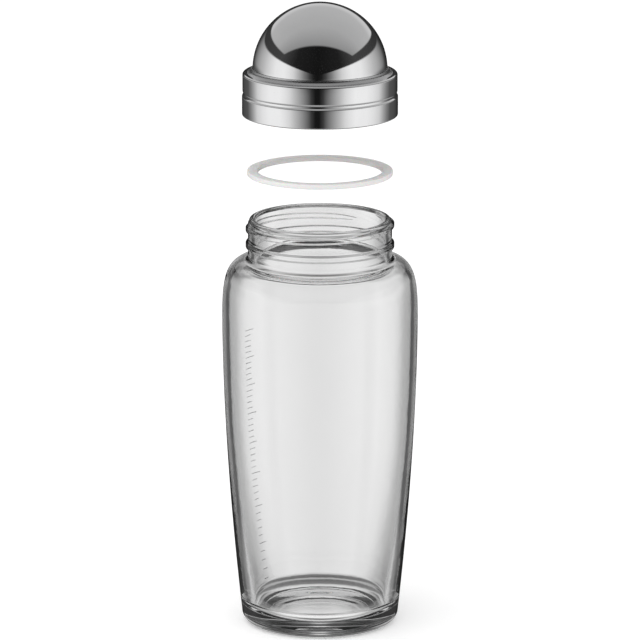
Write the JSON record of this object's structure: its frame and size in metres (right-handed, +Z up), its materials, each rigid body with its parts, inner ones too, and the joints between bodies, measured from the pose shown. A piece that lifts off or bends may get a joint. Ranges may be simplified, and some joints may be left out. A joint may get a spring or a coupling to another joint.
{
  "type": "salad dressing shaker bottle",
  "caption": "Glass shaker bottle with a bead and a thread on its neck, a flat seal ring and a domed steel screw lid, shown lifted off.",
  "frame": {"origin": "centre of the ring that the bottle stands on, at table height", "axes": "+Z up along the bottle's axis, -Y towards the viewer of the picture, +X to the viewer's right"},
  "size_m": [0.0802, 0.0802, 0.2592],
  "materials": {
    "clear_glass": "clear, fire polished, pressed soda-lime glass",
    "white_silicone": "soft, slightly translucent white silicone",
    "polished_steel": "mirror polished stainless steel",
    "white_plastic": "satin moulded plastic",
    "scale_print": "dark grey ceramic ink, fired on the glass"
  },
  "bodies": {
    "bottle": {"glass_bottle": "clear_glass"},
    "seal": {"seal_ring": "white_silicone"},
    "lid_dome": {"dome_cap": "polished_steel"},
    "lid_collar": {"screw_collar": "polished_steel", "thread_ring": "white_plastic"}
  },
  "joints": [
    {"name": "lid_turn", "type": "hinge", "parent": "lid_dome", "child": "lid_collar", "pos_m": [0, 0, 0.22], "axis": [0, 0, 1], "range_deg": [-5130, 0]},
    {"name": "lid_lift", "type": "slide", "parent": "bottle", "child": "lid_dome", "axis": [0, 0, 1], "range_m": [-0.057, 0]},
    {"name": "seal_lift", "type": "slide", "parent": "bottle", "child": "seal", "axis": [0, 0, 1], "range_m": [-0.018, 0]}
  ],
  "couplings": [
    {"joint": "lid_lift", "follows": "lid_turn", "m_per_rad": 0.0006366},
    {"joint": "seal_lift", "follows": "lid_turn", "m_per_rad": 0.00020103}
  ]
}
